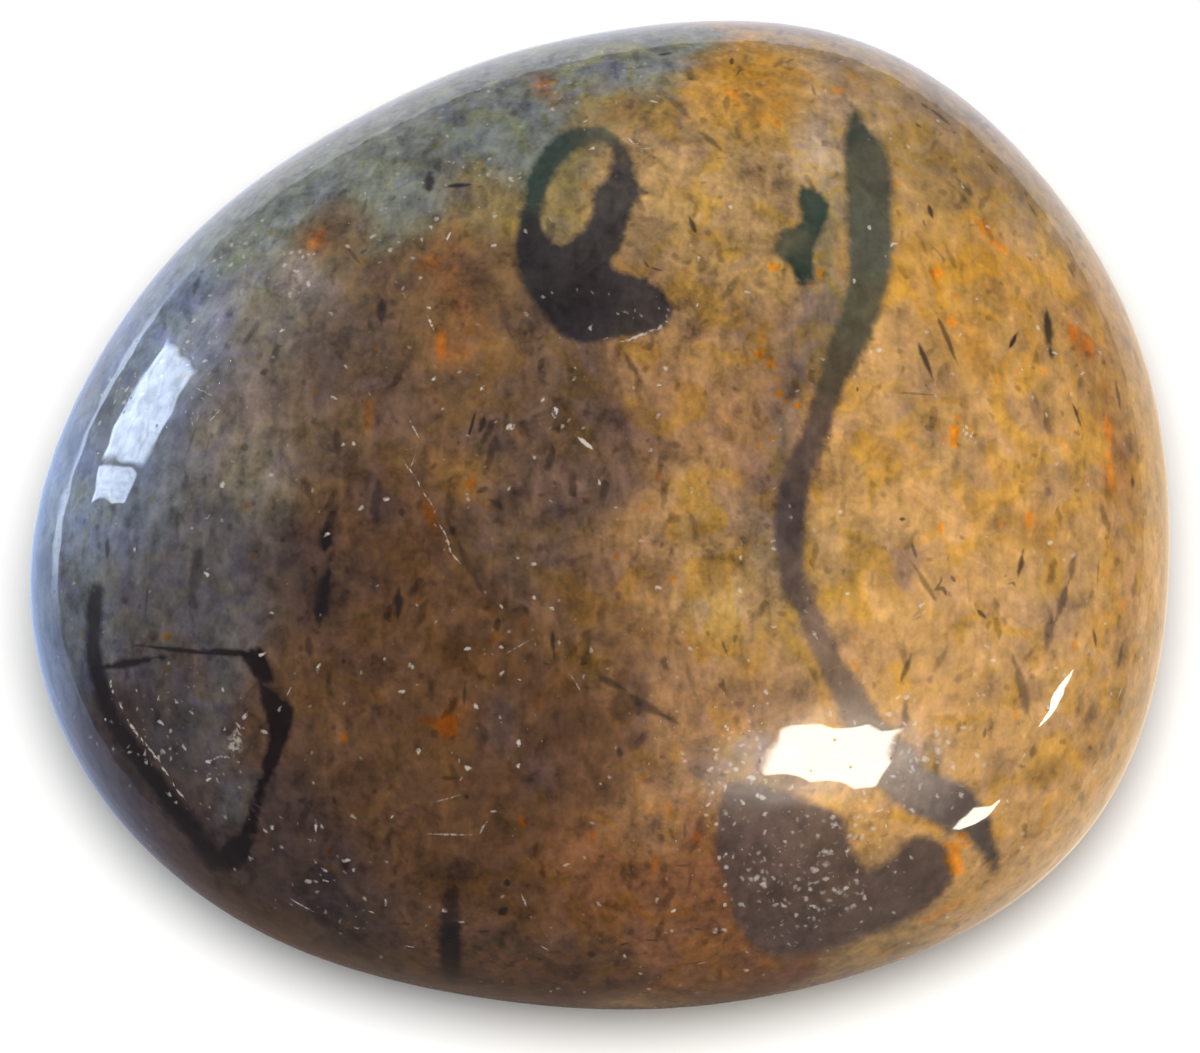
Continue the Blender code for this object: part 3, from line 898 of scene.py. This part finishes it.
FIBRES = [
    # x, y, width and length in mm, lean, strength
    (-8.7, -12.3, 0.08, 0.7, -45, 0.9), (-8.25, -10.3, 0.09, 0.45, 10, 0.8),
    (-6.25, -12.35, 0.09, 0.35, 10, 0.8), (-5.6, -13.45, 0.07, 0.35, 85, 0.8),
    (-2.2, -12.4, 0.07, 0.65, -10, 0.6), (-4.9, 4.0, 0.07, 0.5, -25, 0.8),
    (-3.4, 2.0, 0.1, 0.22, 30, 1.0), (-7.7, 1.85, 0.09, 0.25, -60, 0.8),
    (-5.4, 0.9, 0.05, 0.8, -28, 0.5), (-5.5, -0.35, 0.06, 0.7, -35, 0.7),
    (-4.95, -1.25, 0.07, 0.5, -35, 0.6), (-4.5, -2.2, 0.06, 0.6, -30, 0.6),
    (-4.2, -2.9, 0.06, 0.6, -40, 0.5), (1.6, 11.1, 0.08, 0.4, -60, 0.9),
    (0.9, 9.75, 0.06, 0.45, -30, 0.8), (1.35, 9.48, 0.05, 0.55, 80, 0.5),
    (1.25, 3.62, 0.09, 0.7, 68, 0.7), (0.75, 3.42, 0.08, 0.45, 80, 0.6),
    (1.75, 3.85, 0.10, 0.3, 40, 0.5), (-4.4, 6.75, 0.08, 0.35, 20, 0.9),
    (-4.3, -10.62, 0.07, 1.5, 88, 0.5), (-3.35, -10.4, 0.07, 0.4, 30, 0.5),
    (-4.4, -9.65, 0.06, 0.8, 70, 0.35), (-6.0, -10.1, 0.06, 0.2, 45, 0.9),
    (10.6, 1.2, 0.07, 0.3, 30, 0.8), (10.8, 1.0, 0.07, 0.35, 30, 0.8),
    (15.3, -5.95, 0.08, 0.4, 25, 0.7), (-2.3, -5.45, 0.05, 0.9, 60, 0.35),
    (-0.7, -6.5, 0.05, 0.7, -30, 0.4), (2.9, -13.95, 0.05, 0.9, 70, 0.5),
    (-11.2, -8.3, 0.06, 0.5, 60, 0.5), (-9.0, -6.6, 0.05, 0.5, 30, 0.4),
    (12.3, 3.25, 0.08, 0.3, -30, 0.8), (14.2, 3.3, 0.08, 0.3, 60, 0.7),
    (9.3, -4.3, 0.1, 0.4, 60, 0.5), (-1.6, -13.6, 0.05, 0.3, -30, 0.6),
    # chips along the shield's left side, and the pale patch inside it
    (-14.3, -5.9, 0.10, 0.3, 20, 0.8), (-14.0, -6.6, 0.09, 0.4, -25, 0.8),
    (-13.6, -7.3, 0.12, 0.4, -35, 0.9), (-13.15, -7.85, 0.10, 0.5, -40, 0.9),
    (-12.7, -8.5, 0.10, 0.4, -35, 0.9), (-12.25, -9.15, 0.10, 0.5, -35, 0.8),
    (-10.6, -7.9, 0.50, 0.9, 25, 0.5), (-10.3, -7.2, 0.12, 0.4, 40, 0.7),
    # pale cracks beside the window's image, painted bright as glints of its light, and chips in the middle
    (-11.6, 2.4, 0.06, 0.8, -60, 0.5), (-11.2, 1.6, 0.06, 0.7, 50, 0.5),
    (-11.9, 1.5, 0.05, 0.5, -20, 0.5), (-0.4, 0.35, 0.14, 0.6, -50, 0.9),
    (-1.3, 1.3, 0.22, 0.35, 0, 0.9), (-2.6, 0.85, 0.20, 0.3, 60, 0.7),
]

# %% [markdown]
# ## Frames without seams
#
# Halfway between two marks the stored numbers jump from one frame to the other, and the
# mesh would blend them into a ghost of a third mark. So the strength is stored too, and it
# is already zero well before that seam, while along and across go on a little further.
# Needles that nearly touch would still share a seam, so every third row of their list is
# stored under a name of its own, and neighbours in the list never meet.

# %% Store the marks
FRAME_REACH = 0.5
STRENGTH_REACH = 0.25
FAR_AWAY = 4.0


def store_marks(name, rows):
    """Writes along, across and strength of the nearest mark to each point as one attribute."""
    values = np.zeros((len(spots), 3))
    values[:, :2] = FAR_AWAY
    nearest = np.full(len(spots), FRAME_REACH)
    for x, y, width, length, lean, strength in rows:
        centre, normal = touch_down(x, y)
        lean = math.radians(lean)
        along = np.array([math.sin(lean), math.cos(lean), 0])
        along -= normal * (along @ normal)
        along /= np.linalg.norm(along)
        offset = spots - centre
        near = np.flatnonzero((np.abs(offset) < length / 2 + FRAME_REACH).all(axis=1))
        u, v = offset[near] @ along, offset[near] @ np.cross(along, normal)
        past_end = np.maximum(0, np.abs(u) - (length - width) / 2)
        gap = np.hypot(past_end, v) - width / 2
        closer = gap < nearest[near]
        chosen = near[closer]
        nearest[chosen] = gap[closer]
        values[chosen, 0] = u[closer] / (length / 2)
        values[chosen, 1] = v[closer] / (width / 2)
        values[chosen, 2] = np.where(gap[closer] < STRENGTH_REACH, strength, 0)
    layer = stone.data.attributes.new(name, "FLOAT_VECTOR", "POINT")
    layer.data.foreach_set("vector", values.astype(np.float32).ravel())
    print(name, len(rows), "marks")


NEEDLE_SETS = 3
for turn in range(NEEDLE_SETS):
    store_marks(f"needle_frame_{turn}", NEEDLES[turn::NEEDLE_SETS])
store_marks("rust_frame", RUST_SPOTS)
store_marks("fibre_frame", FIBRES)

# %% [markdown]
# ## Dust and stain maps
#
# White specks are everywhere, but they crowd in a few places: the speckled blob, the left
# rim and a patch near the upper left. A last number for each point says how dusty it is.

# %% Map the dust
DUSTY_PLACES = [
    # x, y, reach in mm, strength
    (6.0, -11.6, 2.6, 1.0), (-8.5, 6.0, 0.8, 1.0), (4.6, -8.6, 1.4, 0.9), (-13.4, 3.6, 1.8, 0.7),
    (-10.8, 6.8, 1.2, 0.8), (-3.2, 8.8, 1.0, 0.6), (-1.2, 11.8, 1.6, 0.5), (-12.4, -7.6, 2.0, 0.5),
    (9.2, -8.4, 1.6, 1.0), (-8.2, -12.0, 1.4, 0.5), (1.2, 4.2, 0.9, 0.5), (2.2, -7.2, 1.0, 0.5),
    (9.2, -4.2, 1.2, 0.3), (-2.0, -6.0, 3.0, 0.12), (-6.0, 7.0, 1.6, 0.3),
]
dust = np.full(len(spots), 0.05)
for x, y, reach, strength in DUSTY_PLACES:
    gap = np.linalg.norm(frayed_spots - touch_down(x, y)[0], axis=1) / reach
    dust = np.maximum(dust, strength * np.exp(-(gap**2)))
write_numbers("dust", dust)
print("dust", len(DUSTY_PLACES), "places")

# %% [markdown]
# ## The material
#
# The material stacks what the mesh carries, from the bottom up: ground with mottling and
# streaks, grains strewn through the rock, needles, dark markings, rust, fibres and dust.
# All noise is measured in millimetres from the object's own coordinates. Polish is a clear
# coat over a slightly satin stone: the coat gives the crisp mirror, the stone the haze
# around each highlight.

# %% Start the material
opal = bpy.data.materials.new("polished_opal")
opal.use_nodes = True
tree = opal.node_tree
stone.data.materials.append(opal)
shader = tree.nodes["Principled BSDF"]
shader.inputs["Roughness"].default_value = 0.35
shader.inputs["IOR"].default_value = 1.45
shader.inputs["Specular IOR Level"].default_value = 0.25
shader.inputs["Coat Weight"].default_value = 1
shader.inputs["Coat Roughness"].default_value = 0.03
shader.inputs["Coat IOR"].default_value = 1.5

place = add_node(tree, "ShaderNodeTexCoord").outputs["Object"]
place_mm = add_node(tree, "ShaderNodeVectorMath", {0: place, 3: 1 / MM}, operation="SCALE").outputs[0]
TURN = [math.radians(angle) for angle in (31, 22, 40)]
noise_place = add_node(tree, "ShaderNodeMapping", {"Vector": place_mm, "Rotation": TURN}).outputs[0]


def vectors(operation, *values):
    """The result of a Vector Math node. Each value is a vector or a socket."""
    inputs = dict(enumerate(values))
    return add_node(tree, "ShaderNodeVectorMath", inputs, operation=operation).outputs[0]


def carried(name, output="Fac"):
    """What the mesh carries under this name."""
    return add_node(tree, "ShaderNodeAttribute", attribute_name=name).outputs[output]


def speckle(per_mm, detail=3.0, wander=0.0, at=None):
    """Noise, read at turned places so that its lattice never lines up with the stone."""
    inputs = {"Vector": at or noise_place, "Scale": per_mm, "Detail": detail}
    inputs |= {"Roughness": 0.6, "Distortion": wander}
    return add_node(tree, "ShaderNodeTexNoise", inputs)


def tinted(colour, share, tint):
    """The colour, multiplied by the tint as far as the share says."""
    return mix_colour(tree, share, colour, (*tint, 1), "MULTIPLY")


def brightened(colour, factor):
    return add_node(tree, "ShaderNodeVectorMath", {0: colour, 3: factor}, operation="SCALE").outputs[0]


# %% [markdown]
# ### Mottling and streaks
#
# Looked at closely, no spot of the ground is one colour. Drifts of a few millimetres,
# clouds of one, mottles of a third and a fine grain are added up into one brightness.
# Noise squeezed along one direction adds the fibrous run of the rock, once upright and
# once leaning. Colour changes more slowly than brightness, or the stone would look like
# coloured sand: grey and mustard come in clouds with half-crisp borders.

# %% Mottle the ground
MOTTLING = [
    # per mm, detail, wander and contrast
    (0.5, 1, 0.5, 0.62), (1.15, 2, 0.9, 1.00), (2.8, 2, 0.4, 0.66), (7.5, 1, 0.0, 0.36),
]
STREAKS = [
    # turn in degrees, squeeze along X, Y and Z, and contrast
    (8, (2.6, 0.9, 2.0), 0.52), (-38, (3.0, 0.9, 2.2), 0.40),
]
GREY_SIDE_CONTRAST = 1.4
DARKEST = 0.25

swings = 0.0
layers = []
for per_mm, detail, wander, contrast in MOTTLING:
    layers.append(speckle(per_mm, detail, wander).outputs["Fac"])
    swing = calculate(tree, "MULTIPLY_ADD", layers[-1], contrast, -contrast / 2)
    swings = calculate(tree, "ADD", swings, swing)
mottles, grain = layers[-2:]
for turn, squeeze, contrast in STREAKS:
    inputs = {"Vector": place_mm, "Rotation": (0.3, 0.2, math.radians(turn)), "Scale": squeeze}
    run = add_node(tree, "ShaderNodeMapping", inputs).outputs[0]
    texture = speckle(1.0, 1, 0.6, run).outputs["Fac"]
    swing = calculate(tree, "MULTIPLY_ADD", texture, contrast, -contrast / 2)
    swings = calculate(tree, "ADD", swings, swing)
eastward = add_node(tree, "ShaderNodeSeparateXYZ", {0: place_mm}).outputs["X"]
liveliness = ramp(tree, eastward, 2, 9, GREY_SIDE_CONTRAST, 1)
brightness = calculate(tree, "MULTIPLY_ADD", swings, liveliness, 1.0)
brightness = calculate(tree, "MAXIMUM", brightness, DARKEST)
print("brightness from", len(MOTTLING) + len(STREAKS), "noises")

# %% Tint the ground
GREY_TINT = (0.80, 0.83, 1.02)
MUSTARD_TINT = (1.06, 0.98, 0.44)
BEIGE_TINT = (1.04, 1.03, 1.22)

colour = carried("ground", "Color")
hues = add_node(tree, "ShaderNodeSeparateColor", {0: speckle(0.7, 1, 0.9).outputs["Color"]}).outputs
colour = tinted(colour, ramp(tree, hues[0], 0.48, 0.66, 0, 0.7), GREY_TINT)
colour = tinted(colour, ramp(tree, hues[2], 0.52, 0.40, 0, 0.8), BEIGE_TINT)
mustard = ramp(tree, eastward, -9, 4, 0.25, 0.8)
mustard = calculate(tree, "MULTIPLY", mustard, ramp(tree, hues[1], 0.50, 0.63))
colour = tinted(colour, mustard, MUSTARD_TINT)
colour = brightened(colour, brightness)

# %% [markdown]
# ### Grains strewn through the rock
#
# Rice-like grains, dark specks and grey or pale ovals run all through the stone, and the
# polish cuts each where it happens to. A Voronoi texture scatters points in space and tells
# the nearest one, so each cell can hold one grain: an ellipsoid, turned and sized by random
# numbers of its own. Its distance from the middle, in its own sizes, is 1 at its skin.

# %% Scatter the grains
warp = vectors("SUBTRACT", speckle(2.4, 1).outputs["Color"], (0.5, 0.5, 0.5))
warped = vectors("MULTIPLY_ADD", warp, (0.24, 0.24, 0.24), place_mm)


def grains(per_mm, half_sizes, lean, spread):
    """How far out in its nearest grain each place is, and the grain's own random numbers."""
    cells = add_node(tree, "ShaderNodeTexVoronoi", {"Vector": warped, "Scale": per_mm})
    chance = add_node(tree, "ShaderNodeSeparateColor", {0: cells.outputs["Color"]}).outputs
    offset = vectors("SUBTRACT", warped, cells.outputs["Position"])
    lean, spread = math.radians(lean), math.radians(spread)
    angle = calculate(tree, "MULTIPLY_ADD", chance[2], 2 * spread, lean - spread)
    inputs = {"Vector": offset, "Angle": angle}
    turned = add_node(tree, "ShaderNodeVectorRotate", inputs, rotation_type="Z_AXIS").outputs[0]
    sized = vectors("DIVIDE", turned, half_sizes)
    reach = add_node(tree, "ShaderNodeVectorMath", {0: sized}, operation="LENGTH").outputs["Value"]
    size = calculate(tree, "MULTIPLY_ADD", chance[1], 0.8, 0.6)
    return calculate(tree, "DIVIDE", reach, size), chance


def present(chance, start, end):
    """1 in the grains whose first random number lies between start and end."""
    above = calculate(tree, "GREATER_THAN", chance[0], start)
    return calculate(tree, "MULTIPLY", above, calculate(tree, "LESS_THAN", chance[0], end))


def grain_share(reach, edge, chance, start, end, strength):
    share = ramp(tree, reach, 1 + edge, 1 - edge)
    share = calculate(tree, "MULTIPLY", share, present(chance, start, end))
    return calculate(tree, "MULTIPLY", share, strength)


reach, chance = grains(0.72, (0.32, 0.62, 0.5), 10, 70)
colour = tinted(colour, grain_share(reach, 0.5, chance, 0.0, 0.42, 0.7), (0.60, 0.60, 0.76))
colour = tinted(colour, grain_share(reach, 0.4, chance, 0.62, 0.85, 0.7), (1.20, 1.17, 1.18))
reach, chance = grains(1.15, (0.085, 0.36, 0.3), 6, 38)
strength = calculate(tree, "MULTIPLY_ADD", chance[1], 0.6, 0.1)
colour = tinted(colour, grain_share(reach, 0.45, chance, 0.0, 0.36, strength), (0.26, 0.25, 0.30))
reach, chance = grains(2.3, (0.08, 0.11, 0.11), 0, 90)
colour = tinted(colour, grain_share(reach, 0.5, chance, 0.0, 0.22, 0.6), (0.42, 0.38, 0.42))
colour = tinted(colour, grain_share(reach, 0.5, chance, 0.93, 0.97, 0.8), (1.30, 0.85, 0.20))
colour = tinted(colour, grain_share(reach, 0.5, chance, 0.5, 0.66, 0.7), (1.28, 1.25, 1.22))

# %% [markdown]
# ### Needles, markings and spots
#
# From the two stored numbers, along and across, a lens is one formula: one minus the
# square of along, minus across. It is positive inside and falls to nothing at the points.
# A little noise bends the frame first, so that no two needles look stamped. A marking is
# drawn from its edge distance in the same way: noise makes it a little ragged, and the
# softness that it carries says over how many millimetres it fades.

# %% Draw the placed needles
def wobbled(name):
    """The stored along, across and strength, the first two shaken a little by noise."""
    shaken = vectors("MULTIPLY_ADD", warp, (1.4, 0.8, 0), carried(name, "Vector"))
    return add_node(tree, "ShaderNodeSeparateXYZ", {0: shaken}).outputs


def lens_share(name, start, end):
    along, across, strength = wobbled(name)
    lens = calculate(tree, "SUBTRACT", 1.0, calculate(tree, "MULTIPLY", along, along))
    lens = calculate(tree, "SUBTRACT", lens, calculate(tree, "ABSOLUTE", across))
    return calculate(tree, "MULTIPLY", ramp(tree, lens, start, end), strength)


NEEDLE_DARK = linear(22, 17, 17)
for turn in range(NEEDLE_SETS):
    colour = mix_colour(tree, lens_share(f"needle_frame_{turn}", -0.5, 0.65), colour, NEEDLE_DARK)

# %% Draw the dark markings
RAGGEDNESS = 0.20
ragged = calculate(tree, "MULTIPLY_ADD", mottles, RAGGEDNESS, -RAGGEDNESS / 2)
ragged = calculate(tree, "ADD", ragged, carried("marking_gap"))
softness = carried("marking_softness")
inside = ramp(tree, ragged, softness, calculate(tree, "MULTIPLY", softness, -1.0), 0, 0.95)
marking_light = calculate(tree, "MULTIPLY_ADD", brightness, 0.8, 0.2)
marking = brightened(carried("marking_colour", "Color"), marking_light)
colour = mix_colour(tree, inside, colour, marking)

# %% Add rust, fibres and dust
RUST_TINT = (1.45, 0.88, 0.10)
PALE = linear(176, 168, 160)
along, across, strength = wobbled("rust_frame")
square = calculate(tree, "MULTIPLY_ADD", along, along, calculate(tree, "MULTIPLY", across, across))
rust = calculate(tree, "MULTIPLY", ramp(tree, square, 1.7, 0.3), strength)
colour = tinted(colour, rust, RUST_TINT)
broken = ramp(tree, grain, 0.40, 0.56, 0.1, 0.75)
fibre = calculate(tree, "MULTIPLY", lens_share("fibre_frame", -0.3, 0.5), broken)
colour = mix_colour(tree, fibre, colour, PALE)

reach, chance = grains(4.2, (0.035, 0.055, 0.07), 20, 90)
reach = calculate(tree, "ADD", reach, calculate(tree, "MULTIPLY_ADD", grain, 3.0, -1.5))
dustiness = carried("dust")
dusty = calculate(tree, "LESS_THAN", chance[0], dustiness)
largest = ramp(tree, dustiness, 0.3, 1, 1.7, 2.3)
speck = calculate(tree, "MULTIPLY", ramp(tree, reach, largest, 0.3), dusty)
faint = calculate(tree, "POWER", chance[1], ramp(tree, dustiness, 0.3, 1, 2.5, 1.6))
speck = calculate(tree, "MULTIPLY", speck, calculate(tree, "MULTIPLY_ADD", faint, 0.52, 0.15))
colour = mix_colour(tree, speck, colour, PALE)
tree.links.new(colour, shader.inputs["Base Color"])

# %% [markdown]
# ### Pits and swells
#
# Tumbling leaves a few pits where a grain broke out, and the polish swells and dips a
# little over hard and soft minerals. That shows only where a highlight crosses it, so it
# is bump and not colour.

# %% Roughen the polish
pits = add_node(tree, "ShaderNodeTexVoronoi", {"Vector": noise_place, "Scale": 3.1})
whole = add_node(tree, "ShaderNodeSeparateColor", {0: pits.outputs["Color"]}).outputs[0]
whole = calculate(tree, "LESS_THAN", whole, 0.7)
pit = calculate(tree, "MAXIMUM", ramp(tree, pits.outputs["Distance"], 0.05, 0.16), whole)
height = calculate(tree, "MULTIPLY_ADD", speckle(0.8, 0).outputs["Fac"], 0.08, pit)
bump = add_node(tree, "ShaderNodeBump", {"Height": height, "Strength": 1.0, "Distance": 0.008 * MM})
tree.links.new(bump.outputs[0], shader.inputs["Normal"])
tree.links.new(bump.outputs[0], shader.inputs["Coat Normal"])
print("material", len(tree.nodes), "nodes")
